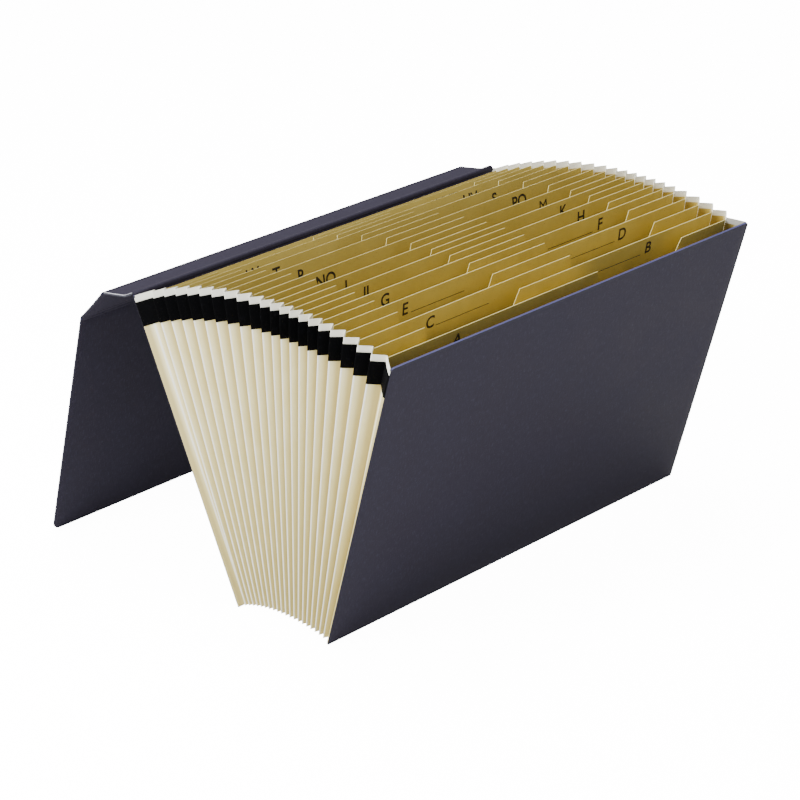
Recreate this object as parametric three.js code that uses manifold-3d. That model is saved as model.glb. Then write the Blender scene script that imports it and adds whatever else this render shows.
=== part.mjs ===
// Expanding index file: two stiff covers, twenty index leaves, a plain one and a pleated gusset,
// standing open like a fan, with the closing flap folded back behind it. Millimetres, +Z up.
// X runs across the pockets from the back cover to the front cover, Y along the length of the file.

import * as THREE from 'three';
import * as BufferGeometryUtils from 'three/addons/utils/BufferGeometryUtils.js';
import Module from 'manifold-3d';

const wasm = await Module();
wasm.setup();

// ---------------------------------------------------------------- driving dimensions

// covers
const coverLength = 381; // along Y
const coverHeight = 238; // from the table to the fold line at the top of the back cover
const boardThickness = 1.6;
const coverCornerRadius = 2.5;

// fan
const frontLean = 18; // degrees from upright, towards +X
const backLean = 22.8; // degrees from upright, towards -X
const pocketPitch = 4.2; // distance between neighbouring leaves at their lower ends
const tightPocket = 8; // the pocket that stands least open, counted from the front
const tightSpread = 3.9; // how many pockets on each side share that
const tightSqueeze = 0.44; // how much less it opens than the outer pockets

// index leaves, from the front to the back
const leafNames = [
  'a', 'b', 'c', 'd', 'e', 'f', 'g', 'h', 'ij', 'k',
  'l', 'm', 'no', 'pq', 'r', 's', 't', 'uv', 'w', 'xyz', 'plain',
];
const leafThickness = 0.45;
const leafBottom = 4.6; // height of the leaf's bottom fold above the foot of the fan
const leafTop = 234.5;
const notchDepth = 15;
const notchSlant = 5; // how far each end of the notch slopes
const oddNotch = [34, 128.5]; // along Y, at the leaf's top edge
const evenNotch = [-131, -34.5];
const footReach = 3.3; // how far the folded foot closes the pocket below
const firstFootReach = 1.8; // the same for the first leaf, which stands next to the cover board
const footSlope = 34; // degrees below level, so that closed leaves nest

// gusset and its binding tape
const gussetThickness = 0.35;
const sharpestTip = 3; // the outside of a fold reaches no further than this many half thicknesses
const gussetBottom = 1; // where the pleats start, inside the thickness of the pocket's floor
const floorUnderside = 0.5;
const floorThickness = 1;
const gussetTop = 236.5;
const innerCrease = 181; // half distance between the two rows of inner creases
const outerCrease = 189; // and of the outer creases
const gluedEnd = 189.3; // where the gusset is glued to the cover, near its edge
const tapeThickness = 0.3;
const tapeTop = 231.5;
const tapeHeight = 18;

// flap
const upperStripLength = 35; // from the cover's fold line to the next
const lowerStripLength = 37;
const panelLength = 195;
const upperStripDip = 12; // degrees below level
const lowerStripDip = 43;
const flapCornerRadius = 6;
const foldGap = 1.1; // from a fold line to the edge of the board beside it

// fits
const gap = 0.3; // between pieces that touch
const liningThickness = 0.45;
const liningInset = 16.5; // bare board left around the lining at the ends
const liningTop = 222;

// ---------------------------------------------------------------- finishes

function finish(color, roughness) {
  return new THREE.MeshStandardMaterial({ color, roughness, metalness: 0 });
}

const coverPaper = finish(0x34343f, 0.62);
const kraft = finish(0xb9a350, 0.85);
const gussetPaper = finish(0xefe9cf, 0.9);
const clothTape = finish(0x0c0c10, 0.7);

// ---------------------------------------------------------------- the fan

const degrees = Math.PI / 180;
const planeCount = leafNames.length + 2; // the leaves and the two covers
const pocketCount = planeCount - 1;

// Pocket openings in degrees: equal, but for a smooth dip around the tight pocket.
function pocketOpenings() {
  const weights = Array.from({ length: pocketCount }, (_, pocket) => {
    const away = (pocket - tightPocket) / tightSpread;
    return 1 - tightSqueeze * Math.exp(-(away ** 4));
  });
  const sum = weights.reduce((total, weight) => total + weight, 0);
  return weights.map((weight) => (weight * (frontLean + backLean)) / sum);
}

// The planes of the front cover, the leaves and the back cover, in that order. Each has its foot
// (x, z) and its lean. The feet follow an arc that stands on the two covers.
function fanPlanes() {
  const openings = pocketOpenings();
  const middleLean = (frontLean - backLean) / 2;
  const planes = [{ x: 0, z: 0, lean: frontLean }];
  openings.forEach((opening) => {
    const last = planes[planes.length - 1];
    const slope = (last.lean - opening / 2 - middleLean) * degrees;
    planes.push({
      x: last.x - pocketPitch * Math.cos(slope),
      z: last.z + pocketPitch * Math.sin(slope),
      lean: last.lean - opening,
    });
  });
  const back = planes[planes.length - 1];
  const tilt = back.z / back.x;
  const middle = back.x / 2;
  return planes.map(({ x, z, lean }) => ({ x: x - middle, z: z - tilt * x, lean }));
}

const planes = fanPlanes();
const frontPlane = planes[0];
const backPlane = planes[planes.length - 1];

// A point given in a plane's own frame: out of the plane, along Y, and up the plane.
function onPlane({ x, z, lean }, out, along, up) {
  const angle = lean * degrees;
  return new THREE.Vector3(
    x + out * Math.cos(angle) + up * Math.sin(angle),
    along,
    z - out * Math.sin(angle) + up * Math.cos(angle),
  );
}

// ---------------------------------------------------------------- geometry helpers

function toSolid(geometry) {
  geometry.deleteAttribute('normal');
  geometry.deleteAttribute('uv');
  const merged = BufferGeometryUtils.mergeVertices(geometry, 1e-4);
  return new wasm.Manifold(new wasm.Mesh({
    numProp: 3,
    vertProperties: merged.attributes.position.array,
    triVerts: new Uint32Array(merged.index.array),
  }));
}

function toGeometry(solid) {
  const mesh = solid.getMesh();
  const geometry = new THREE.BufferGeometry();
  geometry.setAttribute('position', new THREE.BufferAttribute(mesh.vertProperties, 3));
  geometry.setIndex(new THREE.BufferAttribute(mesh.triVerts, 1));
  geometry.computeVertexNormals();
  return geometry;
}

// A plate standing in the YZ plane: outline in (along, up), centred on x = centre.
function plate(outline, thickness, centre = 0) {
  const settings = { depth: thickness, bevelEnabled: false, curveSegments: 6 };
  const geometry = new THREE.ExtrudeGeometry(outline, settings);
  geometry.translate(0, 0, centre - thickness / 2);
  geometry.applyMatrix4(new THREE.Matrix4().set(0, 0, 1, 0, 1, 0, 0, 0, 0, 1, 0, 0, 0, 0, 0, 1));
  return geometry;
}

// A bar with an (x, z) outline, running along Y between two ends.
function bar(outline, halfLength) {
  const geometry = new THREE.ExtrudeGeometry(outline, { depth: 2 * halfLength, bevelEnabled: false });
  geometry.rotateX(Math.PI / 2);
  geometry.translate(0, halfLength, 0);
  return geometry;
}

function polygon(points) {
  return new THREE.Shape(points.map(([x, y]) => new THREE.Vector2(x, y)));
}

// A rectangle from bottom to top, centred on zero, with its upper corners rounded.
function roundTopped(width, bottom, top, radius) {
  const half = width / 2;
  const shape = new THREE.Shape();
  shape.moveTo(-half, bottom);
  shape.lineTo(half, bottom);
  shape.lineTo(half, top - radius);
  shape.absarc(half - radius, top - radius, radius, 0, Math.PI / 2, false);
  shape.lineTo(radius - half, top);
  shape.absarc(radius - half, top - radius, radius, Math.PI / 2, Math.PI, false);
  shape.closePath();
  return shape;
}

// Everything below the table, seen from a plane that leans: cuts a board's lower edge level.
function belowTable(plane) {
  const reach = 2 * coverLength;
  const block = new THREE.BoxGeometry(reach, reach, reach);
  block.translate(0, 0, -reach / 2 - plane.z);
  block.rotateY(-plane.lean * degrees);
  return toSolid(block);
}

// The corner points of a strip's two faces, pushed sideways from its centre line, seen from above.
// The outside of a sharp fold is cut off so that it does not run out into a spike.
function sidewaysPair(points, index, thickness) {
  const here = points[index];
  const along = (from, to) => new THREE.Vector2(to.x - from.x, to.y - from.y).normalize();
  const before = index > 0 ? along(points[index - 1], here) : null;
  const after = index < points.length - 1 ? along(here, points[index + 1]) : null;
  const first = before ?? after;
  const second = after ?? before;
  const left = new THREE.Vector2(-first.y - second.y, first.x + second.x).normalize();
  const reach = thickness / 2 / left.dot(new THREE.Vector2(-first.y, first.x));
  const blunt = Math.min(reach, sharpestTip * thickness / 2);
  const turnsLeft = first.cross(second) > 0;
  const shift = (distance) => new THREE.Vector3(left.x * distance, left.y * distance, 0);
  return [
    here.clone().add(shift(turnsLeft ? reach : blunt)),
    here.clone().sub(shift(turnsLeft ? blunt : reach)),
  ];
}

// A folded sheet of even thickness between a lower and an upper centre line of as many points. Each
// face of a twisted limb is split along the same diagonal, so the thickness stays even.
function foldedSheet(lower, upper, thickness) {
  const corners = lower.map((_, index) => [
    ...sidewaysPair(lower, index, thickness),
    ...sidewaysPair(upper, index, thickness),
  ]).flat();
  const faces = [];
  const quad = (a, b, c, d) => faces.push(a, b, c, a, c, d);
  for (let index = 0; index < lower.length - 1; index += 1) {
    const [leftLow, rightLow, leftHigh, rightHigh] = [0, 1, 2, 3].map((corner) => 4 * index + corner);
    const step = 4;
    quad(rightLow, rightLow + step, rightHigh + step, rightHigh);
    quad(leftLow, leftHigh, leftHigh + step, leftLow + step);
    quad(leftHigh, rightHigh, rightHigh + step, leftHigh + step);
    quad(rightLow, leftLow, leftLow + step, rightLow + step);
  }
  quad(0, 1, 3, 2);
  const last = 4 * (lower.length - 1);
  quad(last + 1, last, last + 2, last + 3);
  const geometry = new THREE.BufferGeometry();
  geometry.setAttribute('position', new THREE.Float32BufferAttribute(corners.flatMap((p) => p.toArray()), 3));
  geometry.setIndex(faces);
  geometry.computeVertexNormals();
  return geometry;
}

// ---------------------------------------------------------------- assembly helpers

const file = new THREE.Group();

function addPiece(name, geometry, material, parent = file) {
  const mesh = new THREE.Mesh(geometry, material);
  mesh.name = name;
  parent.add(mesh);
}

// A group whose own Z runs up the plane and whose own X points out of it, towards the front.
function planeGroup({ x, z, lean }) {
  const group = new THREE.Group();
  group.position.set(x, 0, z);
  group.rotation.y = lean * degrees;
  file.add(group);
  return group;
}

// ---------------------------------------------------------------- covers and linings

function coverBoard(plane) {
  const outline = roundTopped(coverLength, -boardThickness, coverHeight - foldGap, coverCornerRadius);
  return toGeometry(toSolid(plate(outline, boardThickness)).subtract(belowTable(plane)));
}

const liningOffset = boardThickness / 2 + gap + liningThickness / 2;

function lining(side, bottom) {
  const half = coverLength / 2 - liningInset;
  const outline = polygon([[-half, bottom], [half, bottom], [half, liningTop], [-half, liningTop]]);
  return plate(outline, liningThickness, side * liningOffset);
}

function addCovers() {
  const front = planeGroup(frontPlane);
  addPiece('front_cover', coverBoard(frontPlane), coverPaper, front);
  addPiece('front_lining', lining(-1, leafBottom), kraft, front);
  const back = planeGroup(backPlane);
  addPiece('back_cover', coverBoard(backPlane), coverPaper, back);
  const half = coverLength / 2 - liningInset;
  const backLining = toSolid(lining(1, leafBottom)).add(toSolid(foot(half, liningOffset)));
  addPiece('back_lining', toGeometry(backLining), kraft, back);
}

// ---------------------------------------------------------------- index leaves

const leafHalfLength = innerCrease - 4 * gussetThickness;

// The folded lower edge of a leaf: it slopes down and forward, under the leaf in front. start is
// where it begins and end is where it stops, both in front of the plane it belongs to.
function foot(halfLength, start = 0, end = footReach) {
  const slope = Math.tan(footSlope * degrees);
  const thick = leafThickness / 2 / Math.cos(footSlope * degrees);
  const half = leafThickness / 2;
  const level = (x, side) => leafBottom - x * slope + side * thick;
  const reach = end - start;
  return bar(polygon([
    [start - half, leafBottom + 2 * leafThickness],
    [start - half, level(-half, -1)],
    [start + reach, level(reach, -1)],
    [start + reach, level(reach, 1)],
    [start + half, level(half, 1)],
    [start + half, leafBottom + 2 * leafThickness],
  ]), halfLength);
}

function leafOutline(notch) {
  const half = leafHalfLength;
  const notchPoints = ([start, end]) => [
    [end, leafTop],
    [end - notchSlant, leafTop - notchDepth],
    [start + notchSlant, leafTop - notchDepth],
    [start, leafTop],
  ];
  return polygon([
    [-half, leafBottom],
    [half, leafBottom],
    [half, leafTop],
    ...(notch ? notchPoints(notch) : []),
    [-half, leafTop],
  ]);
}

// The notches stand by turns right and left of the middle; the plain leaf has none.
function notchOf(name, index) {
  if (name === 'plain') return null;
  return index % 2 === 0 ? oddNotch : evenNotch;
}

function addLeaves() {
  leafNames.forEach((name, index) => {
    const sheet = toSolid(plate(leafOutline(notchOf(name, index)), leafThickness));
    const leaf = sheet.add(toSolid(foot(leafHalfLength, 0, index === 0 ? firstFootReach : footReach)));
    addPiece(`index_leaf_${name}`, toGeometry(leaf), kraft, planeGroup(planes[index + 1]));
  });
}

// ---------------------------------------------------------------- gusset and tape

const creaseSetback = 0.35; // from a leaf's plane to the end of each pleat beside it
const flangeOut = boardThickness / 2 + gap + gussetThickness / 2;

const isCover = (index) => index === 0 || index === planeCount - 1;

// Where a pleat ends at the plane in front of it or behind it: on the inner fold beside a leaf, or
// near the edge of a cover. side is -1 at the near end of the file and 1 at the far one.
function pleatEnd(index, out, side, up) {
  if (isCover(index)) return onPlane(planes[index], out * flangeOut, side * gluedEnd, up);
  return onPlane(planes[index], out * creaseSetback, side * innerCrease, up);
}

function outerCreasePoint(pocket, side, up) {
  const front = onPlane(planes[pocket], 0, side * outerCrease, up);
  const back = onPlane(planes[pocket + 1], 0, side * outerCrease, up);
  return front.add(back).multiplyScalar(0.5);
}

// The centre line of one pocket's pleat, from front to back. Next to a cover it is half a pleat,
// which runs straight from the leaf to the cover's edge.
function pleatLine(pocket, side, up) {
  const ends = [pleatEnd(pocket, -1, side, up), pleatEnd(pocket + 1, 1, side, up)];
  if (isCover(pocket) || isCover(pocket + 1)) return ends;
  return [ends[0], outerCreasePoint(pocket, side, up), ends[1]];
}

// The strip that closes the pocket underneath, from one leaf's foot line to the next.
function pocketFloor(pocket) {
  const corner = (plane, out, up) => {
    const point = onPlane(plane, out, 0, up);
    return [point.x, point.z];
  };
  const setback = (index) => (isCover(index) ? flangeOut : creaseSetback) + 0.25;
  const front = planes[pocket];
  const back = planes[pocket + 1];
  const topside = floorUnderside + floorThickness;
  return bar(polygon([
    corner(front, -setback(pocket), floorUnderside),
    corner(front, -setback(pocket), topside),
    corner(back, setback(pocket + 1), topside),
    corner(back, setback(pocket + 1), floorUnderside),
  ]), innerCrease + 2.5);
}

function pleat(pocket, side) {
  return foldedSheet(
    pleatLine(pocket, side, gussetBottom),
    pleatLine(pocket, side, gussetTop),
    gussetThickness,
  );
}

// foldedSheet turns inside out when its line runs the other way round, so the faces are put right.
function outward(geometry) {
  const solid = toSolid(geometry);
  if (solid.volume() > 0) return solid;
  const index = geometry.index.array;
  for (let corner = 0; corner < index.length; corner += 3) {
    [index[corner], index[corner + 1]] = [index[corner + 1], index[corner]];
  }
  return toSolid(geometry);
}

function addGussets() {
  for (let pocket = 0; pocket < pocketCount; pocket += 1) {
    const pleats = outward(pleat(pocket, -1)).add(outward(pleat(pocket, 1)));
    const gusset = pleats.add(outward(pocketFloor(pocket)));
    addPiece(`gusset_${String(pocket + 1).padStart(2, '0')}`, toGeometry(gusset), gussetPaper);
  }
}

// A line moved sideways by an even distance, to the side away from the pockets.
function movedOut(line, side, distance) {
  return line.map((_, index) => {
    const [left, right] = sidewaysPair(line, index, 2 * distance);
    return side < 0 ? left : right;
  });
}

// The centre line of the binding tape, over every pleat from the front cover to the back.
function tapeLine(side, up) {
  const points = [pleatEnd(0, -1, side, up)];
  for (let pocket = 0; pocket < pocketCount - 1; pocket += 1) {
    if (pocket > 0) points.push(outerCreasePoint(pocket, side, up));
    points.push(onPlane(planes[pocket + 1], 0, side * innerCrease, up));
  }
  points.push(pleatEnd(planeCount - 1, 1, side, up));
  return movedOut(points, side, gussetThickness / 2 + gap + tapeThickness / 2);
}

function addTapes() {
  [['near_tape', -1], ['far_tape', 1]].forEach(([name, side]) => {
    const sheet = foldedSheet(tapeLine(side, tapeTop - tapeHeight), tapeLine(side, tapeTop), tapeThickness);
    addPiece(name, toGeometry(outward(sheet)), clothTape);
  });
}

// ---------------------------------------------------------------- flap

// Each board of the flap hangs from its fold line: z runs away from the fold, along the board.
function flapPlane(fold, dip) {
  return { x: fold.x, z: fold.z, lean: -90 - dip };
}

function boardEnd(plane, length) {
  return onPlane(plane, 0, 0, length);
}

function flapStrip(length) {
  const half = coverLength / 2;
  const outline = polygon([
    [-half, foldGap], [half, foldGap], [half, length - foldGap], [-half, length - foldGap],
  ]);
  return plate(outline, boardThickness);
}

function addFlap() {
  const upper = flapPlane(boardEnd(backPlane, coverHeight), upperStripDip);
  const lower = flapPlane(boardEnd(upper, upperStripLength), lowerStripDip);
  const lastFold = boardEnd(lower, lowerStripLength);
  const panelDip = Math.asin(lastFold.z / panelLength) / degrees;
  const panel = flapPlane(lastFold, panelDip);
  addPiece('flap_upper_strip', flapStrip(upperStripLength), coverPaper, planeGroup(upper));
  addPiece('flap_lower_strip', flapStrip(lowerStripLength), coverPaper, planeGroup(lower));
  const outline = roundTopped(coverLength, foldGap, panelLength + boardThickness, flapCornerRadius);
  const board = toSolid(plate(outline, boardThickness)).subtract(belowTable(panel));
  addPiece('flap_panel', toGeometry(board), coverPaper, planeGroup(panel));
}

// ---------------------------------------------------------------- the whole file

addCovers();
addLeaves();
addGussets();
addTapes();
addFlap();

// The origin is on the table, under the middle of the whole file.
file.updateMatrixWorld(true);
const box = new THREE.Box3().setFromObject(file);
file.position.x = -(box.min.x + box.max.x) / 2;

export default file;
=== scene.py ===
# %% [markdown]
# # An expanding index file
#
# The file stands open on its two covers like a fan. Between the covers are kraft leaves with index
# letters, joined at both ends by a pleated cream gusset, and a flap in three boards hangs behind it.
# The solid model gives the place of every board and leaf. Here each of them is made again as thin,
# slightly bowed paper or paper-covered board. Lengths are in metres.

# %% Load the frame
import math

import bpy
import numpy as np
from mathutils import Matrix, Vector


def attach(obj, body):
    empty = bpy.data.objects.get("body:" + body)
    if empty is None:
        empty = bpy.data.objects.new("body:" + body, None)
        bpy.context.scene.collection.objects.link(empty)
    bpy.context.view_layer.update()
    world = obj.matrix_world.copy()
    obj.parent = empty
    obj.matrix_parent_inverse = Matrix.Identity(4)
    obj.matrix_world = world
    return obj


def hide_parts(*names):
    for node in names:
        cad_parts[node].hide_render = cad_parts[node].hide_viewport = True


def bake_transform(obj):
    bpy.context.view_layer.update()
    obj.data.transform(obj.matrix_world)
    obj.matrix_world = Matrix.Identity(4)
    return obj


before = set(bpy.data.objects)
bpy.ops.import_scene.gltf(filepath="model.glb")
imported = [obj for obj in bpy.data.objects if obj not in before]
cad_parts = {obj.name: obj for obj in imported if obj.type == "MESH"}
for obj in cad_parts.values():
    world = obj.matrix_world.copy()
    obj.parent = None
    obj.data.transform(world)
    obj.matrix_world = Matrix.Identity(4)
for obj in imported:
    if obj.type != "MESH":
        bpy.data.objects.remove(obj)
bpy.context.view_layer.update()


# %% [markdown]
# ## Where the sheets are
#
# Every leaf and board is a flat sheet that leans about the Y axis. Its largest face gives the direction
# it looks in, and its upper edge gives its place. Working this out from the solid keeps the looks true
# to the model, where typed-in numbers would drift away from it.

# %% Find the plane of a sheet
MM = 0.001


def node_points(name):
    """The vertices of a node of the solid model, one row each."""
    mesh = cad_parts[name].data
    points = np.empty(len(mesh.vertices) * 3)
    mesh.vertices.foreach_get("co", points)
    return points.reshape(-1, 3)


def face_direction(name, facing):
    """The unit normal of the node's largest polygon, turned to the side of the vector facing."""
    largest = max(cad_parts[name].data.polygons, key=lambda polygon: polygon.area)
    normal = np.array(largest.normal)
    normal[1] = 0
    normal /= np.linalg.norm(normal)
    return normal if normal @ np.array(facing) > 0 else -normal


class Sheet:
    """A leaning plane: out is its normal, up runs along it, foot is where up is zero."""

    def __init__(self, name, reach, facing=(1, 0, 0)):
        points = node_points(name)
        self.out = face_direction(name, facing)
        self.up = np.array([-self.out[2], 0, self.out[0]])
        heights = points @ self.up
        edge = points[heights > heights.max() - 0.05 * MM] @ self.out
        middle = (edge.min() + edge.max()) / 2
        self.foot = middle * self.out + (heights.max() - reach) * self.up

    def at(self, out, along, up):
        """Points out of the plane, along Y and up the plane; the three may be arrays."""
        out, along, up = np.broadcast_arrays(out, along, up)
        sideways = along[..., None] * np.array([0, 1, 0])
        return self.foot + out[..., None] * self.out + up[..., None] * self.up + sideways


LETTERS = ["A", "B", "C", "D", "E", "F", "G", "H", "IJ", "K",
           "L", "M", "NO", "PQ", "R", "S", "T", "UV", "W", "XYZ"]
LEAF_NAMES = [letters.lower() for letters in LETTERS] + ["plain"]
COVER_EDGE = 236.9 * MM
LEAF_TOP = 234.5 * MM
LEAF_BOTTOM = 4.6 * MM
FOLD_GAP = 1.1 * MM

sheets = [Sheet("front_cover", COVER_EDGE)]
sheets += [Sheet(f"index_leaf_{name}", LEAF_TOP) for name in LEAF_NAMES]
sheets += [Sheet("back_cover", COVER_EDGE)]
bodies = ["front_cover"] + [f"leaf_{name}" for name in LEAF_NAMES] + ["back_cover"]
leans = [math.degrees(math.atan2(sheet.up[0], sheet.up[2])) for sheet in sheets]
print("leans from front to back:", np.round(leans, 1))

# %% Find the planes of the flap
UPPER_STRIP, LOWER_STRIP, PANEL = 35 * MM, 37 * MM, 195 * MM
upper_strip = Sheet("flap_upper_strip", UPPER_STRIP - FOLD_GAP, facing=(0, 0, 1))
lower_strip = Sheet("flap_lower_strip", LOWER_STRIP - FOLD_GAP, facing=(0, 0, 1))
panel = Sheet("flap_panel", PANEL, facing=(0, 0, 1))
panel.foot = lower_strip.at(0, 0, LOWER_STRIP)
print("fold lines:", [np.round(sheet.foot / MM, 1).tolist() for sheet in (upper_strip, lower_strip, panel)])

# %% [markdown]
# ## Building surfaces
#
# Paper is one surface with a little thickness, so each piece is computed as a grid of points, a
# function of two parameters, and given its thickness by a Solidify modifier. The modifier puts the
# cut edges in a material of their own, which is how the pale edges of the kraft leaves are made, and
# the kraft back of the gusset paper is a third material. A sheet's border is marked sharp, so that it
# isn't shaded round into the cut edge. Cover paper is left smooth there, as its edges are round.

# %% Turn a grid of points into an object
LENGTH = 381 * MM


def keep_border_sharp(mesh, rows, columns):
    """Marks the border of a grid as sharp, so that the sheet isn't shaded round into its cut edge."""
    ends = np.empty(len(mesh.edges) * 2, dtype=np.int64)
    mesh.edges.foreach_get("vertices", ends)
    row, column = np.divmod(ends.reshape(-1, 2), columns)
    along_row = (row[:, 0] == row[:, 1]) & np.isin(row[:, 0], (0, rows - 1))
    along_column = (column[:, 0] == column[:, 1]) & np.isin(column[:, 0], (0, columns - 1))
    attribute = mesh.attributes.new("sharp_edge", "BOOLEAN", "EDGE")
    attribute.data.foreach_set("value", along_row | along_column)


def grid_object(name, points, material, thickness=0.0, edge_material=None, back_material=None,
                uv=None, flip=False):
    """A surface from points[row, column], with a UV map in metres unless one is given."""
    rows, columns = points.shape[:2]
    index = np.arange(rows * columns).reshape(rows, columns)
    corners = [index[:-1, :-1], index[:-1, 1:], index[1:, 1:], index[1:, :-1]]
    if flip:
        corners = corners[::-1]
    quads = np.stack(corners, axis=-1).reshape(-1, 4)
    mesh = bpy.data.meshes.new(name)
    mesh.from_pydata(points.reshape(-1, 3).tolist(), [], quads.tolist())
    if uv is None:
        across = np.linalg.norm(np.diff(points, axis=1, prepend=points[:, :1]), axis=-1).cumsum(axis=1)
        upward = np.linalg.norm(np.diff(points, axis=0, prepend=points[:1]), axis=-1).cumsum(axis=0)
        uv = np.stack([across, upward], axis=-1)
    layer = mesh.uv_layers.new(name="sheet")
    layer.data.foreach_set("uv", uv.reshape(-1, 2)[quads.ravel()].ravel().astype(np.float32))
    mesh.shade_smooth()
    if material is not COVER:
        keep_border_sharp(mesh, rows, columns)
    return finish_object(name, mesh, material, thickness, edge_material, back_material)


def finish_object(name, mesh, material, thickness=0.0, edge_material=None, back_material=None):
    """Links the mesh and makes it thick, with other materials on the cut edge and the back."""
    item = bpy.data.objects.new(name, mesh)
    bpy.context.scene.collection.objects.link(item)
    mesh.materials.append(material)
    if thickness:
        solid = item.modifiers.new("thickness", "SOLIDIFY")
        solid.thickness = thickness
        solid.offset = 0
        if edge_material:
            mesh.materials.append(edge_material)
            solid.material_offset_rim = 1
        if back_material:
            mesh.materials.append(back_material)
            solid.material_offset = 2
    return item


def replace(item, body, slot, *nodes):
    """The object rides on the body and stands for these nodes of the solid model."""
    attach(item, body)
    if nodes:
        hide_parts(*nodes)


# %% [markdown]
# ## Materials
#
# Each finish starts from a base colour, given as it would be on a screen and turned into linear light
# here. A material is built from nodes, so one short function adds a node with its settings and links.

# %% Colours and nodes
def linear(hex_colour):
    """A screen colour such as 8fa0b2 as linear red, green, blue and alpha."""
    values = np.array([int(hex_colour[i:i + 2], 16) for i in (0, 2, 4)]) / 255
    low, high = values / 12.92, ((values + 0.055) / 1.055) ** 2.4
    return (*np.where(values <= 0.04045, low, high).tolist(), 1.0)


def new_material(name):
    """An empty node material with its output, and the shader that feeds it."""
    material = bpy.data.materials.new(name)
    material.use_nodes = True
    tree = material.node_tree
    tree.nodes.clear()
    shader = add(tree, "ShaderNodeBsdfPrincipled")
    add(tree, "ShaderNodeOutputMaterial", inputs={"Surface": shader.outputs["BSDF"]})
    return material, tree, shader


def add(tree, kind, settings=None, inputs=None):
    """Adds a node, sets its settings, and sets or links its inputs."""
    node = tree.nodes.new(kind)
    for key, value in (settings or {}).items():
        setattr(node, key, value)
    for key, value in (inputs or {}).items():
        plug(tree, node, key, value)
    return node


def plug(tree, node, key, value):
    """Links an output to the node's input, or sets the input to a number or colour."""
    if isinstance(value, bpy.types.NodeSocket):
        tree.links.new(value, node.inputs[key])
    else:
        node.inputs[key].default_value = value


def place(tree):
    """Positions on the object, in metres."""
    return add(tree, "ShaderNodeTexCoord").outputs["Object"]


def sheet_place(tree):
    """Positions on the unfolded sheet, in metres."""
    return add(tree, "ShaderNodeUVMap", {"uv_map": "sheet"}).outputs["UV"]


def stretched(tree, vector, scale):
    """The vector with each axis scaled by its own number."""
    return add(tree, "ShaderNodeVectorMath", {"operation": "MULTIPLY"}, {0: vector, 1: scale}).outputs[0]


def noise(tree, vector, size, detail=4.0, roughness=0.55):
    """Cloudy noise from 0 to 1 whose patches are about size metres across."""
    settings = {"Vector": vector, "Scale": 1 / size, "Detail": detail, "Roughness": roughness}
    return add(tree, "ShaderNodeTexNoise", inputs=settings).outputs["Fac"]


def mix(tree, factor, first, second, blend="MIX"):
    """Mixes two colours; factor 0 gives the first one."""
    node = add(tree, "ShaderNodeMix", {"data_type": "RGBA", "blend_type": blend})
    plug(tree, node, 0, factor)
    plug(tree, node, 6, first)
    plug(tree, node, 7, second)
    return node.outputs[2]


def ramp(tree, value, low, high, to_low=0.0, to_high=1.0):
    """Maps low to high onto to_low to to_high, clamped, with smooth ends."""
    settings = {"interpolation_type": "SMOOTHSTEP"}
    inputs = {"Value": value, "From Min": low, "From Max": high, "To Min": to_low, "To Max": to_high}
    return add(tree, "ShaderNodeMapRange", settings, inputs).outputs["Result"]


def arithmetic(tree, operation, first, second):
    """One sum of two numbers."""
    return add(tree, "ShaderNodeMath", {"operation": operation}, {0: first, 1: second}).outputs[0]


def bump(tree, shader, height, distance, strength=1.0):
    """Gives the surface small relief, distance metres deep."""
    inputs = {"Height": height, "Distance": distance, "Strength": strength}
    plug(tree, shader, "Normal", add(tree, "ShaderNodeBump", inputs=inputs).outputs["Normal"])


# %% [markdown]
# ### Cover paper
#
# The boards are covered in dark blue-black paper pressed to look like book cloth: fine lines that run
# up the board and fainter ones along it. Very faint clouds break up the colour, as handled paper is
# never quite even. Where the paper is folded over an edge, the faces that look up are painted paler:
# a painted highlight, as if lit from above.

# %% Dark paper over board
def cover_material(name, colour, lighter, painted_highlight=None, roughness=0.6):
    """Pressed cover paper: two sets of fine lines in relief, faint clouds in colour and in shine, and a
    painted highlight on faces that look up.
    """
    material, tree, shader = new_material(name)
    where = sheet_place(tree)
    clouds = noise(tree, where, 0.05, 5.0)
    upright = noise(tree, stretched(tree, where, (1.0, 0.12, 1.0)), 0.0007, 3.0, 0.7)
    level = noise(tree, stretched(tree, where, (0.12, 1.0, 1.0)), 0.0007, 3.0, 0.7)
    cloth = arithmetic(tree, "ADD", upright, arithmetic(tree, "MULTIPLY", level, 0.6))
    tone = mix(tree, ramp(tree, clouds, 0.3, 0.72), linear(colour), linear(lighter))
    tone = mix(tree, ramp(tree, cloth, 0.78, 1.1, 0, 0.45), tone, linear("434254"))
    # Painted highlight: faces whose normals point up are made paler, as if lit from above.
    if painted_highlight:
        direction = add(tree, "ShaderNodeTexCoord").outputs["Normal"]
        normal = add(tree, "ShaderNodeSeparateXYZ", inputs={0: direction})
        tone = mix(tree, ramp(tree, normal.outputs["Z"], 0.35, 0.9), tone, linear(painted_highlight))
    plug(tree, shader, "Base Color", tone)
    plug(tree, shader, "Roughness", ramp(tree, clouds, 0.2, 0.8, roughness - 0.04, roughness + 0.05))
    plug(tree, shader, "Specular IOR Level", 0.1)
    bump(tree, shader, cloth, 0.00007, 0.6)
    return material


COVER = cover_material("Blue-black cover paper", "292532", "2c2936")
# The folded edges are slightly darker and shinier paper, with a bluish painted highlight where they face
# up.
COVER_EDGE_PAPER = cover_material("Blue-black cover paper at the folded edges",
                                  "22212b", "282732", "50507a", 0.42)
# The edge of the top strip is paler paper, with a near-white painted highlight where it faces up.
STRIP_EDGE_PAPER = cover_material("Paler edge of the top strip with a painted highlight", "34343c", "3e3e48", "e4e4ea", 0.5)
print("cover papers:", COVER.name, "and", COVER_EDGE_PAPER.name)

# %% [markdown]
# ### Kraft paper
#
# Kraft is unbleached: yellow-brown, matt, with long fibres that show as faint streaks along the
# machine direction and small darker and paler flecks. The guillotined edge is paler than the face.

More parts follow.
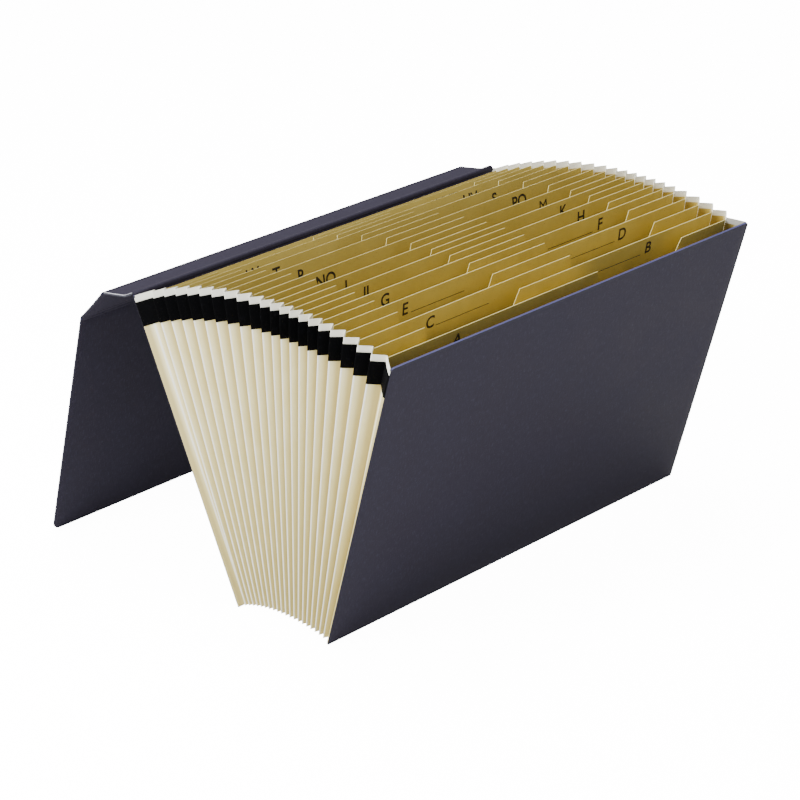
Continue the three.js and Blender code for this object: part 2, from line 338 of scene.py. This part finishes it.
# %% Kraft leaves
def kraft_material(name, colour, darker):
    """Kraft: clouds, streaks along the sheet, and flecks a fraction of a millimetre wide."""
    material, tree, shader = new_material(name)
    where = sheet_place(tree)
    clouds = noise(tree, where, 0.03, 4.0)
    streaks = noise(tree, stretched(tree, where, (0.12, 1.0, 1.0)), 0.0012, 4.0, 0.7)
    flecks = noise(tree, stretched(tree, where, (0.45, 1.0, 1.0)), 0.0008, 2.0)
    tone = mix(tree, ramp(tree, clouds, 0.25, 0.75), linear(darker), linear(colour))
    tone = mix(tree, ramp(tree, streaks, 0.42, 0.75, 0, 0.28), tone, linear("cdb86a"))
    tone = mix(tree, ramp(tree, flecks, 0.64, 0.74, 0, 0.5), tone, linear("7f6524"))
    plug(tree, shader, "Base Color", tone)
    plug(tree, shader, "Roughness", 0.82)
    plug(tree, shader, "Specular IOR Level", 0.25)
    bump(tree, shader, arithmetic(tree, "ADD", streaks, flecks), 0.00003, 0.5)
    return material


KRAFT = kraft_material("Kraft paper", "d2be68", "c8b35c")
KRAFT_EDGE = kraft_material("Cut edge of kraft paper", "ebdfa0", "e0d290")
print("kraft:", KRAFT.name, "and", KRAFT_EDGE.name)

# %% [markdown]
# ### Gusset paper
#
# The pleats are folded from paper that is cream outside and kraft on its back, with a white band along
# the top. Each outer fold shows as a thin white line, partly paper whitened by creasing and partly a
# painted highlight, and painted shade darkens the paper towards the inner folds. The map of each pleat
# runs from 0 to 1 across it, with the outer fold at one half, so the distance from a fold is known
# everywhere. The white band begins at a height that is given for each paper.

# %% Cream gusset paper
def gusset_material(name, colour, darker, crease, painted_fold_shade, band):
    """Paper with painted shade towards the inner folds, darker towards the foot, white above band and on
    the creases, partly as a painted highlight.
    """
    material, tree, shader = new_material(name)
    mapped = sheet_place(tree)
    split = add(tree, "ShaderNodeSeparateXYZ", inputs={"Vector": mapped})
    across, height = split.outputs["X"], split.outputs["Y"]
    where = place(tree)
    clouds = noise(tree, where, 0.02, 4.0)
    fibres = noise(tree, stretched(tree, where, (1.0, 1.0, 0.2)), 0.0009, 3.0)
    fold_distance = arithmetic(tree, "ABSOLUTE", arithmetic(tree, "SUBTRACT", across, 0.5), 0.0)
    tone = mix(tree, ramp(tree, clouds, 0.3, 0.7), linear(colour), linear(darker))
    tone = mix(tree, ramp(tree, height, 0.0, 0.2, 0.75, 0.0), tone, linear("cbbc74"))
    # Painted shade: the paper darkens towards the inner folds, deep in each pleat.
    tone = mix(tree, ramp(tree, fold_distance, 0.04, 0.36, 0.0, 0.9), tone, linear(painted_fold_shade))
    # The thin white line on the outer fold is partly creased paper and partly a painted highlight.
    tone = mix(tree, ramp(tree, fold_distance, 0.03, 0.08, 1.0, 0.0), tone, linear(crease))
    tone = mix(tree, ramp(tree, height, band, band + 0.0006, 0.0, 1.0), tone, linear("f6f4e6"))
    plug(tree, shader, "Base Color", tone)
    plug(tree, shader, "Roughness", 0.78)
    plug(tree, shader, "Specular IOR Level", 0.3)
    bump(tree, shader, fibres, 0.00003, 0.5)
    return material


GUSSET = gusset_material("Cream gusset paper", "fcf4c4", "f6ecb4", "fffff6", "c4b478", 0.2300)
GUSSET_BACK = gusset_material("Kraft back of the gusset paper",
                              "d2be68", "c8b35c", "e6d9a0", "a88f44", 0.2315)
GUSSET_EDGE = gusset_material("Cut edge of gusset paper", "f7f3e2", "f1ecd8", "fffdf4", "efe8cc", 0.2300)
print("gusset:", GUSSET.name, "and", GUSSET_BACK.name)

# %% [markdown]
# ### Binding tape and ink
#
# A black cloth tape is glued over the upper part of the pleats so that they don't tear. It is a plain
# weave, so two sets of waves at right angles make its threads. The letters and rules are printed in
# matt black ink.

# %% Black cloth and black ink
def tape_material():
    """Plain weave: threads 0.35 mm apart both ways, with faint dusty smudges."""
    material, tree, shader = new_material("Black cloth binding tape")
    where = sheet_place(tree)
    waves = {"wave_type": "BANDS", "wave_profile": "SIN"}
    warp = add(tree, "ShaderNodeTexWave", {**waves, "bands_direction": "X"},
               {"Vector": where, "Scale": 450.0, "Distortion": 1.0})
    weft = add(tree, "ShaderNodeTexWave", {**waves, "bands_direction": "Y"},
               {"Vector": where, "Scale": 450.0, "Distortion": 1.0})
    threads = arithmetic(tree, "MULTIPLY", warp.outputs["Fac"], weft.outputs["Fac"])
    dust = noise(tree, place(tree), 0.006, 4.0)
    tone = mix(tree, threads, linear("020203"), linear("070709"))
    tone = mix(tree, ramp(tree, dust, 0.58, 0.8, 0.0, 0.3), tone, linear("1c1c22"))
    plug(tree, shader, "Base Color", tone)
    plug(tree, shader, "Roughness", 0.85)
    plug(tree, shader, "Specular IOR Level", 0.05)
    bump(tree, shader, threads, 0.00008, 0.6)
    return material


def ink_material():
    """Matt black ink that lies a little unevenly in the paper."""
    material, tree, shader = new_material("Black printing ink")
    cover = noise(tree, place(tree), 0.0007, 3.0)
    tone = mix(tree, ramp(tree, cover, 0.4, 0.8), linear("15130f"), linear("2a261c"))
    plug(tree, shader, "Base Color", tone)
    plug(tree, shader, "Roughness", 0.7)
    return material


TAPE = tape_material()
INK = ink_material()
print("tape and ink:", TAPE.name, "and", INK.name)

# %% [markdown]
# ## The index leaves
#
# A leaf is a stiff kraft sheet held at both ends by the gusset, so it bows a little between them,
# most near its free top edge. The bow is a half sine wave along the leaf that grows with height. Each
# leaf also has a small bow of its own, from a fixed series, because no two sheets lie alike.

# %% How a leaf bows
LEAF_HALF = 180.4 * MM
LEAF_THICK = 0.45 * MM
own_bow = np.random.default_rng(7).uniform(-1, 1, (len(LEAF_NAMES), 3))


def leaf_bow(number, along, up):
    """Distance from the leaf's plane: half a wave plus one and a half waves, growing with height."""
    share = np.clip((along + LEAF_HALF) / (2 * LEAF_HALF), 0, 1)
    rise = np.clip(up / LEAF_TOP, 0, 1) ** 1.6
    one, three, tilt = own_bow[number]
    common = -0.5 * np.sin(np.pi * share)
    own = 0.45 * one * np.sin(np.pi * share) + 0.16 * three * np.sin(3 * np.pi * share + tilt)
    return (common + own * np.sin(np.pi * share) ** 0.5) * rise * MM


# %% [markdown]
# The upper edge has one notch with sloping ends, by turns to the right and to the left, so that two
# rows of letters can be seen at once. The surface keeps its columns upright and lets the last row
# follow the edge; columns are set close together at the slopes so that these stay straight.

# %% The shape of a leaf
NOTCH_DEPTH, NOTCH_SLOPE = 15 * MM, 5 * MM
RIGHT_NOTCH = (34 * MM, 128.5 * MM)
LEFT_NOTCH = (-131 * MM, -34.5 * MM)


def notch_of(number):
    """Where the notch of a leaf begins and ends along Y, or None for the plain leaf."""
    if LEAF_NAMES[number] == "plain":
        return None
    return RIGHT_NOTCH if number % 2 == 0 else LEFT_NOTCH


def leaf_edge(along, notch):
    """Height of the top edge: full height less a flat-bottomed notch with sloping, softened ends."""
    if notch is None:
        return np.full_like(along, LEAF_TOP)
    inside = np.minimum(along - notch[0], notch[1] - along) / NOTCH_SLOPE
    return LEAF_TOP - NOTCH_DEPTH * np.clip(inside, 0, 1)


def leaf_columns(notch):
    """Positions along Y: even, with the corners of the notch and points just beside them added."""
    even = np.linspace(-LEAF_HALF, LEAF_HALF, 61)
    if notch is None:
        return even
    corners = np.array([notch[0], notch[0] + NOTCH_SLOPE, notch[1] - NOTCH_SLOPE, notch[1]])
    beside = (corners[:, None] + np.array([-0.4, 0, 0.4]) * MM).ravel()
    kept = even[np.abs(even[:, None] - corners).min(axis=1) > 1.2 * MM]
    return np.sort(np.concatenate([kept, beside]))


def make_leaf(number):
    """One leaf: rows from the foot to the notch's depth, then rows squeezed under the top edge."""
    notch = notch_of(number)
    along = leaf_columns(notch)
    edge = leaf_edge(along, notch)
    share = np.concatenate([np.linspace(0, 0.90, 16), np.linspace(0.925, 1, 6)])[:, None]
    up = LEAF_BOTTOM + (edge - LEAF_BOTTOM) * share
    points = sheets[number + 1].at(leaf_bow(number, along, up), along + 0 * up, up)
    uv = np.stack([along + 0 * up + number * 0.37, up], axis=-1)
    name = f"leaf_{LEAF_NAMES[number]}"
    item = grid_object(name, points, KRAFT, LEAF_THICK, KRAFT_EDGE, uv=uv)
    replace(item, bodies[number + 1], "kraft", f"index_{name}")
    return item


leaves = [make_leaf(number) for number in range(len(LEAF_NAMES))]
print("leaves:", len(leaves), "with", len(leaves[0].data.vertices), "points each")

# %% [markdown]
# Under each leaf a narrow foot is folded forward, which closes the pocket below. It slopes so that
# closed leaves nest inside each other.

# %% The folded feet
FOOT_SLOPE = math.radians(34)


def make_foot(number):
    """A short strip from the leaf's lower edge, down and forward, rounded where it is folded."""
    reach = 1.8 * MM if number == 0 else 3.3 * MM
    share = np.linspace(0, 1, 7)[:, None]
    along = np.linspace(-LEAF_HALF, LEAF_HALF, 21)
    out = reach * share
    up = LEAF_BOTTOM - out * math.tan(FOOT_SLOPE) + 0.4 * MM * np.exp(-(share * 6) ** 2)
    item = grid_object(f"foot_{LEAF_NAMES[number]}", sheets[number + 1].at(out, along, up),
                       KRAFT, 0.4 * MM, KRAFT_EDGE, flip=True)
    replace(item, bodies[number + 1], "kraft")
    return item


feet = [make_foot(number) for number in range(len(LEAF_NAMES))]
print("feet:", len(feet))

# %% [markdown]
# ## Letters and rules
#
# The letters are printed, so they are flat shapes that lie on the bowed face of the leaf. Each is
# written with Blender's own typeface, turned into a mesh and laid on the leaf a few hundredths of a
# millimetre above the paper. The strokes are thickened a little, except in an M, which would be filled
# wrongly. Beside each letter runs a thin rule to write on.

# %% Write a letter as points
LETTER_HEIGHT = 9.4 * MM
LETTER_WIDTH = 0.95
LETTER_CENTRES = (-110.5 * MM, 108 * MM)
STROKE_OFFSET = 0.018
BASELINE = LEAF_TOP - 13 * MM
INK_LIFT = 0.06 * MM
RULE_SPANS = ((-104.5, -50), (50, 100))
RULE_WIDTH = 0.5


def letter_mesh(text):
    """Points (right, up) and faces of a word set in capitals, centred, with capitals 1 high."""
    curve = bpy.data.curves.new(text, "FONT")
    curve.body = text
    curve.align_x = "CENTER"
    curve.resolution_u = 6
    curve.offset = 0 if "M" in text else STROKE_OFFSET
    temporary = bpy.data.objects.new(text, curve)
    bpy.context.scene.collection.objects.link(temporary)
    bpy.context.view_layer.update()
    mesh = bpy.data.meshes.new_from_object(temporary.evaluated_get(bpy.context.evaluated_depsgraph_get()))
    points = np.empty(len(mesh.vertices) * 3)
    mesh.vertices.foreach_get("co", points)
    points = points.reshape(-1, 3)[:, :2]
    faces = [list(polygon.vertices) for polygon in mesh.polygons]
    bpy.data.objects.remove(temporary)
    bpy.data.curves.remove(curve)
    bpy.data.meshes.remove(mesh)
    return points, faces


cap_points = letter_mesh("H")[0]
CAPITAL = cap_points[:, 1].max() - cap_points[:, 1].min()
print("height of a capital at size 1:", round(float(CAPITAL), 3))


# %% Lay ink on the leaves
def on_leaf(number, along, up):
    """Points on the front face of a leaf."""
    out = leaf_bow(number, along, up) + LEAF_THICK / 2 + INK_LIFT
    return sheets[number + 1].at(out, along, up)


def make_letter(number):
    """The index letters of one leaf, on the side away from its notch."""
    points, faces = letter_mesh(LETTERS[number])
    size = LETTER_HEIGHT / CAPITAL
    along = LETTER_CENTRES[number % 2] + points[:, 0] * size * LETTER_WIDTH
    up = BASELINE + points[:, 1] * size
    mesh = bpy.data.meshes.new(f"letter_{LEAF_NAMES[number]}")
    mesh.from_pydata(on_leaf(number, along, up).tolist(), [], faces)
    item = finish_object(mesh.name, mesh, INK)
    replace(item, bodies[number + 1], "kraft")
    return item


def make_rule(number):
    """The rule beside the letters: a strip half a millimetre wide that follows the bow of the leaf."""
    start, end = RULE_SPANS[number % 2]
    along = np.linspace(start, end, 25) * MM
    up = (BASELINE + np.array([0, RULE_WIDTH]) * MM)[:, None]
    item = grid_object(f"rule_{LEAF_NAMES[number]}", on_leaf(number, along, up + 0 * along), INK)
    replace(item, bodies[number + 1], "kraft")
    return item


letters = [make_letter(number) for number in range(len(LETTERS))]
rules = [make_rule(number) for number in range(len(LETTERS))]
print("letters:", len(letters), "rules:", len(rules))

# %% [markdown]
# ## The gusset
#
# Between two neighbouring sheets the gusset makes one pleat: out from the fold on one leaf to the
# outer fold, and back to the next leaf. Across the pleat the surface runs from 0 to 1; its depth is a
# rounded tent, and each limb swells very slightly as paper does.
#
# A pocket widens towards the top, and each pleat is made in two parts, a lower and an upper one,
# which meet at a given height.

# %% The line of a pleat
INNER_FOLD, OUTER_FOLD, GLUED_END = 181 * MM, 189 * MM, 190.2 * MM
GUSSET_TOP = 236.5 * MM
GUSSET_THICK = 0.3 * MM
LEAF_SETBACK = 0.06 * MM
COVER_SETBACK = 0.95 * MM
SWELL = 0.2 * MM


def is_cover(number):
    """True for the first and the last sheet."""
    return number in (0, len(sheets) - 1)


def fold_at(number, facing, side, up):
    """Where a pleat ends: on the inner fold beside a leaf, or at the edge of a cover."""
    if is_cover(number):
        return sheets[number].at(facing * COVER_SETBACK, side * GLUED_END, up)
    return sheets[number].at(facing * LEAF_SETBACK, side * INNER_FOLD, up)


def tent(share, sharpness=0.035):
    """0 at both ends and 1 at a half, with the peak rounded off."""
    away = np.sqrt((2 * share - 1) ** 2 + sharpness ** 2)
    return 1 - (away - sharpness) / (np.sqrt(1 + sharpness ** 2) - sharpness)


def pleat_points(pocket, side, share, up, shift=0.0):
    """Points of a pleat for arrays share (front to back) and up, moved outward by shift."""
    front = fold_at(pocket, -1, side, up)
    back = fold_at(pocket + 1, 1, side, up)
    mixed = front + (back - front) * share[..., None]
    half_pleat = is_cover(pocket) or is_cover(pocket + 1)
    depth = 0 if half_pleat else (OUTER_FOLD - INNER_FOLD) * tent(share)
    swell = SWELL * np.sin((1 if half_pleat else 2) * np.pi * share) ** 2
    mixed[..., 1] += side * (depth + swell + shift)
    return mixed


PLEAT_STEPS = np.unique(np.round(np.concatenate([
    np.linspace(0, 1, 15), 0.5 + np.array([-0.04, -0.02, -0.01, 0.01, 0.02, 0.04])]), 4))


def pleat_grid(pocket, side, low, high, rows, shift=0.0):
    """The grid of a pleat from height low to high."""
    share = PLEAT_STEPS[None, :] + 0 * np.linspace(0, 1, rows)[:, None]
    up = np.linspace(low, high, rows)[:, None] + 0 * share
    return pleat_points(pocket, side, share, up, shift), np.stack([share, up], axis=-1)


def bend(item, pocket, height, slot, *nodes):
    """Bakes the object's placement into its mesh and hides the nodes it stands for."""
    first, second = sheets[pocket], sheets[pocket + 1]
    front, back = first.at(0, 0, height), second.at(0, 0, height)
    across = first.out + second.out
    across /= np.linalg.norm(across)
    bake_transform(item)
    if nodes:
        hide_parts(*nodes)


POCKETS = len(sheets) - 1
SIDES = (("near", -1), ("far", 1))
PLEAT_SPLIT = 120 * MM
PLEAT_PARTS = (("lower", 0.9 * MM, PLEAT_SPLIT), ("upper", PLEAT_SPLIT, GUSSET_TOP))
BEND_SHARE = 0.4


def make_pleat(pocket, word, side, part, low, high):
    """Part of a pleat, from height low to high."""
    points, uv = pleat_grid(pocket, side, low, high, 17)
    name = f"pleat_{word}_{part}_{pocket + 1:02d}"
    item = grid_object(name, points, GUSSET, GUSSET_THICK, GUSSET_EDGE, GUSSET_BACK,
                       uv=uv, flip=side < 0)
    height = (1 - BEND_SHARE) * low + BEND_SHARE * high
    bend(item, pocket, height, "gusset_paper", f"gusset_{pocket + 1:02d}")
    return item


pleats = [make_pleat(pocket, word, side, *part)
          for word, side in SIDES for pocket in range(POCKETS) for part in PLEAT_PARTS]
print("pleats:", len(pleats))

# %% [markdown]
# Underneath, the same paper runs from one leaf to the next as a shallow fold. Next to each cover there
# is only half a pleat, whose end is folded over the edge of the board and glued there.

# %% Pocket floors and glued strips
FLOOR_HIGH, FLOOR_SAG = 1.5 * MM, 0.7 * MM


def make_floor(pocket):
    """The paper under a pocket: it sags a little between the two sheets."""
    share = np.linspace(0, 1, 9)[None, :]
    along = np.linspace(-INNER_FOLD, INNER_FOLD, 25)[:, None]
    up = FLOOR_HIGH - FLOOR_SAG * np.sin(np.pi * share) + 0 * along
    setbacks = [COVER_SETBACK if is_cover(number) else LEAF_SETBACK for number in (pocket, pocket + 1)]
    front = sheets[pocket].at(-setbacks[0], along, up)
    back = sheets[pocket + 1].at(setbacks[1], along, up)
    points = front + (back - front) * share[..., None]
    uv = np.stack([share + 0 * up, 0.03 + 0 * up], axis=-1)
    item = grid_object(f"floor_{pocket + 1:02d}", points, GUSSET, GUSSET_THICK, uv=uv)
    bend(item, pocket, FLOOR_HIGH, "gusset_paper")
    return item


def make_glued_strip(number, word, side, low, high, material, lift, name, end):
    """The end of the gusset or its tape, turned over a cover's edge as far as end from its middle."""
    facing = -1 if number == 0 else 1
    turn = np.linspace(0, np.pi / 2, 5)
    reach = 0.5 * MM
    turned = COVER_SETBACK - reach + reach * np.cos(turn)
    out = np.concatenate([[COVER_SETBACK], turned, [end]]) + lift * 0.3
    along = np.concatenate([[GLUED_END - 1.2 * MM], GLUED_END - reach + reach * np.sin(turn) + 0.3 * MM,
                            [GLUED_END + 0.3 * MM]]) + lift
    up = np.linspace(low, high, 33)[:, None]
    points = sheets[number].at(facing * out, side * along, up)
    uv = np.stack([0.2 + 0 * (along + up), up + 0 * along], axis=-1)
    item = grid_object(f"{name}_{word}_{bodies[number]}", points, material, 0.2 * MM, uv=uv)
    replace(item, bodies[number], "gusset_paper")
    return item


floors = [make_floor(pocket) for pocket in range(POCKETS)]
strips = [make_glued_strip(number, word, side, 0.9 * MM, 234.8 * MM, GUSSET, 0.0,
                           "glued_end", 0.1 * MM)
          for word, side in SIDES for number in (0, POCKETS)]
print("floors:", len(floors), "glued strips:", len(strips))

# %% [markdown]
# The black tape follows the pleats just outside them. It is moved straight outward by the same
# distance everywhere, which keeps it clear of the paper and lets neighbouring pieces meet exactly.

# %% The binding tape
TAPE_LOW, TAPE_HIGH = 213.5 * MM, 231.5 * MM
TAPE_SHIFT, TAPE_THICK = 0.62 * MM, 0.25 * MM
PLEAT_PAPER = 21 * MM


def make_tape(pocket, word, side):
    """The tape over one pleat, with a map in metres that allows each pleat PLEAT_PAPER of paper."""
    points, uv = pleat_grid(pocket, side, TAPE_LOW, TAPE_HIGH, 7, TAPE_SHIFT)
    uv = np.stack([(uv[..., 0] + pocket) * PLEAT_PAPER, uv[..., 1]], axis=-1)
    item = grid_object(f"tape_{word}_{pocket + 1:02d}", points, TAPE, TAPE_THICK, uv=uv, flip=side > 0)
    bend(item, pocket, TAPE_HIGH, "cloth_tape", f"{word}_tape")
    return item


tapes = [make_tape(pocket, word, side) for word, side in SIDES for pocket in range(POCKETS)]
tape_ends = [make_glued_strip(number, word, side, TAPE_LOW, TAPE_HIGH, TAPE, 0.3 * MM,
                              "tape_end", -0.2 * MM)
             for word, side in SIDES for number in (0, POCKETS)]
print("tape pieces:", len(tapes) + len(tape_ends))

# %% [markdown]
# ## Covers and flap
#
# Each board is a sheet, flat or slightly bowed, thickened by Solidify, with its edges rounded by Bevel
# because the covering paper is folded tightly over them. Where the upper corners are rounded, the rows
# of the grid close up and the width of each row follows the arc.

# %% Make a board
BOARD = 1.6 * MM


def board_rows(low, high, radius):
    """Heights of the rows: even below the rounded corners, and along the arc beside them."""
    above = high - radius * (1 - np.sin(np.linspace(0, np.pi / 2, 6)))
    return np.unique(np.concatenate([np.linspace(low, above[0], 24), above]).round(7))


def half_width(up, high, radius):
    """Half the board's length at each height, less what the rounded corners take away."""
    inside = np.clip(radius - (high - up), 0, radius)
    return LENGTH / 2 - radius + np.sqrt(radius ** 2 - inside ** 2)


def make_board(name, sheet, low, high, high_radius=0.0, bow=0.0, bend_at=0.5, edge_material=None):
    """A board with rounded upper corners, bowed out of its plane by bow at the share bend_at."""
    up = board_rows(low, high, high_radius)[:, None]
    share = np.linspace(-1, 1, 49)[None, :]
    along = half_width(up, high, high_radius) * share
    rise = (up - low) / (high - low)
    nearness = np.where(rise < bend_at, rise / bend_at, (1 - rise) / (1 - bend_at))
    points = sheet.at(bow * tent(nearness / 2, 0.15) + 0 * share, along, up + 0 * share)
    item = grid_object(name, points, COVER, BOARD, edge_material or COVER_EDGE_PAPER)
    edge = item.modifiers.new("folded edge", "BEVEL")
    edge.width = 0.5 * MM
    edge.material = 1
    edge.segments = 3
    edge.limit_method = "ANGLE"
    edge.angle_limit = math.radians(50)
    edge.use_clamp_overlap = True
    return item


def level_foot(sheet):
    """The height at which a board has to start for its lower edge to rest on the table."""
    return BOARD / 2 * abs(sheet.out[2]) / sheet.up[2]


front_board = make_board("cover_front", sheets[0], level_foot(sheets[0]), COVER_EDGE,
                         high_radius=2.5 * MM)
replace(front_board, "front_cover", "cover_paper", "front_cover")
back_board = make_board("cover_back", sheets[-1], level_foot(sheets[-1]), COVER_EDGE,
                        high_radius=1.0 * MM)
replace(back_board, "back_cover", "cover_paper", "back_cover")
print("covers:", front_board.name, back_board.name)

# %% The three boards of the flap
upper_board = make_board("flap_upper", upper_strip, FOLD_GAP, UPPER_STRIP - FOLD_GAP, bow=-1.9 * MM,
                         bend_at=0.3, edge_material=STRIP_EDGE_PAPER)
replace(upper_board, "flap_upper_strip", "cover_paper", "flap_upper_strip")
lower_board = make_board("flap_lower", lower_strip, FOLD_GAP, LOWER_STRIP - FOLD_GAP, bow=-0.3 * MM)
replace(lower_board, "flap_lower_strip", "cover_paper", "flap_lower_strip")
panel_foot = PANEL - BOARD / 2 * abs(panel.out[2]) / abs(panel.up[2]) * 1.02
panel_board = make_board("flap_board", panel, FOLD_GAP, panel_foot, high_radius=6 * MM)
replace(panel_board, "flap_panel", "cover_paper", "flap_panel")
print("flap boards:", upper_board.name, lower_board.name, panel_board.name)

# %% [markdown]
# At each fold of the flap the boards stand a little apart, and the covering paper alone joins them.
# On both faces the paper runs down one board, round the fold and up the next. Between the boards it
# is a smooth curve, pulled towards the line where the faces of the two boards would meet.

# %% The folds of the flap
def fold_path(first, first_length, second, face):
    """Points of the paper on one face, from the first board round the fold to the second."""
    reach, lift = 2.6 * MM, face * BOARD / 2
    start = first.at(lift, 0, first_length - np.linspace(reach, FOLD_GAP, 4))
    end = second.at(lift, 0, np.linspace(FOLD_GAP, reach, 4))
    middle = first.at(0, 0, first_length) + lift * (first.out + second.out) / (1 + first.out @ second.out)
    share = np.linspace(0, 1, 9)[1:-1, None]
    curve = (1 - share) ** 2 * start[-1] + 2 * share * (1 - share) * middle + share ** 2 * end[0]
    return np.concatenate([start, curve, end])


def make_fold(name, first, first_length, second, first_body, second_body, face):
    """The covering paper over one fold, on the face given by 1 (inside) or -1 (outside)."""
    path = fold_path(first, first_length, second, face)
    half = LENGTH / 2 - 0.3 * MM
    along = np.linspace(-half, half, 25)
    points = np.repeat(path[:, None, :], len(along), axis=1)
    points[..., 1] = along
    item = grid_object(name, points, COVER, 0.2 * MM)
    start = first.at(0, 0, first_length - 3 * MM)
    end = second.at(0, 0, 3 * MM)
    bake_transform(item)
    return item


FOLDS = [
    ("fold_1", sheets[-1], 238 * MM, upper_strip, "back_cover", "flap_upper_strip"),
    ("fold_2", upper_strip, UPPER_STRIP, lower_strip, "flap_upper_strip", "flap_lower_strip"),
    ("fold_3", lower_strip, LOWER_STRIP, panel, "flap_lower_strip", "flap_panel"),
]
for name, *parts in FOLDS:
    make_fold(f"{name}_inside", *parts, 1)
    make_fold(f"{name}_outside", *parts, -1)
print("folds:", len(FOLDS))

# %% [markdown]
# Inside each cover a kraft sheet is glued over the turned-in edges of the covering paper.

# %% Linings
LINING_HALF, LINING_TOP = 174 * MM, 222 * MM


def make_lining(number, node):
    """A thin kraft sheet on the inner face of a cover."""
    facing = -1 if number == 0 else 1
    along = np.linspace(-LINING_HALF, LINING_HALF, 25)[None, :]
    up = np.linspace(LEAF_BOTTOM, LINING_TOP, 17)[:, None]
    points = sheets[number].at(facing * (BOARD / 2 + 0.2 * MM), along, up)
    item = grid_object(node + "_sheet", points, KRAFT, 0.25 * MM, KRAFT_EDGE)
    replace(item, bodies[number], "kraft", node)
    return item


linings = [make_lining(0, "front_lining"), make_lining(POCKETS, "back_lining")]
print("linings:", [lining.name for lining in linings])

# %% [markdown]
# ## The studio
#
# The file stands on a plain pale floor in a bright room. Large soft lights give the covers an even
# sheen and keep the shadows weak. The camera looks down on the front cover and the near end from
# about two metres away, with a long lens so that the long edges stay nearly parallel.

# %% Floor, world and lights
SEEN_STRENGTH = 14.0


def seen_brighter(tree, plain_strength):
    """A strength that is higher where the camera looks at the surface than where light bounces off it."""
    seen = add(tree, "ShaderNodeLightPath").outputs["Is Camera Ray"]
    return ramp(tree, seen, 0.0, 1.0, plain_strength, SEEN_STRENGTH)


def floor_material():
    """Smooth white studio floor, so brightly lit that the shadows on it are lost."""
    material, tree, shader = new_material("White studio floor")
    plug(tree, shader, "Base Color", linear("f4f4f4"))
    plug(tree, shader, "Roughness", 0.9)
    plug(tree, shader, "Emission Color", linear("ffffff"))
    plug(tree, shader, "Emission Strength", seen_brighter(tree, 0.42))
    return material


def make_floor_plane():
    """A square floor eight metres wide."""
    points = np.stack(np.meshgrid(np.linspace(-4, 4, 3), np.linspace(-4, 4, 3)), axis=-1)
    points = np.concatenate([points, np.zeros((3, 3, 1))], axis=-1)
    item = grid_object("studio_floor", points, floor_material())
    return item


def area_light(name, location, target, size, power, colour="ffffff"):
    """A square soft light that shines from location towards target."""
    light = bpy.data.lights.new(name, "AREA")
    light.shape = "SQUARE"
    light.size = size
    light.energy = power
    light.color = linear(colour)[:3]
    item = bpy.data.objects.new(name, light)
    item.location = location
    item.rotation_euler = (Vector(target) - Vector(location)).to_track_quat("-Z", "Y").to_euler()
    bpy.context.scene.collection.objects.link(item)
    return item


make_floor_plane()
world = bpy.data.worlds.new("Bright studio")
world.use_nodes = True
background = world.node_tree.nodes["Background"]
plug(world.node_tree, background, "Color", (1, 1, 1, 1))
plug(world.node_tree, background, "Strength", seen_brighter(world.node_tree, 0.5))
bpy.context.scene.world = world
area_light("key light", (-0.5, -2.0, 1.5), (0, 0, 0.12), 1.0, 85)
area_light("top light", (-0.3, 0.2, 2.0), (0, 0, 0.2), 1.2, 42)

# %% Camera
def aim(item, right, up, back):
    """Turns the camera so that its own axes lie along these three directions."""
    item.rotation_euler = Matrix((right, up, back)).transposed().to_euler()


lens = bpy.data.cameras.new("camera")
lens.lens = 125.2
lens.sensor_width = 36
camera = bpy.data.objects.new("camera", lens)
camera.location = (1.3754, -1.3869, 0.8881)
aim(camera, (0.7208, 0.6923, -0.0345), (-0.2377, 0.2936, 0.9259), (0.6511, -0.6592, 0.3762))
bpy.context.scene.collection.objects.link(camera)
bpy.context.scene.camera = camera
print("camera:", tuple(round(value, 3) for value in camera.location))
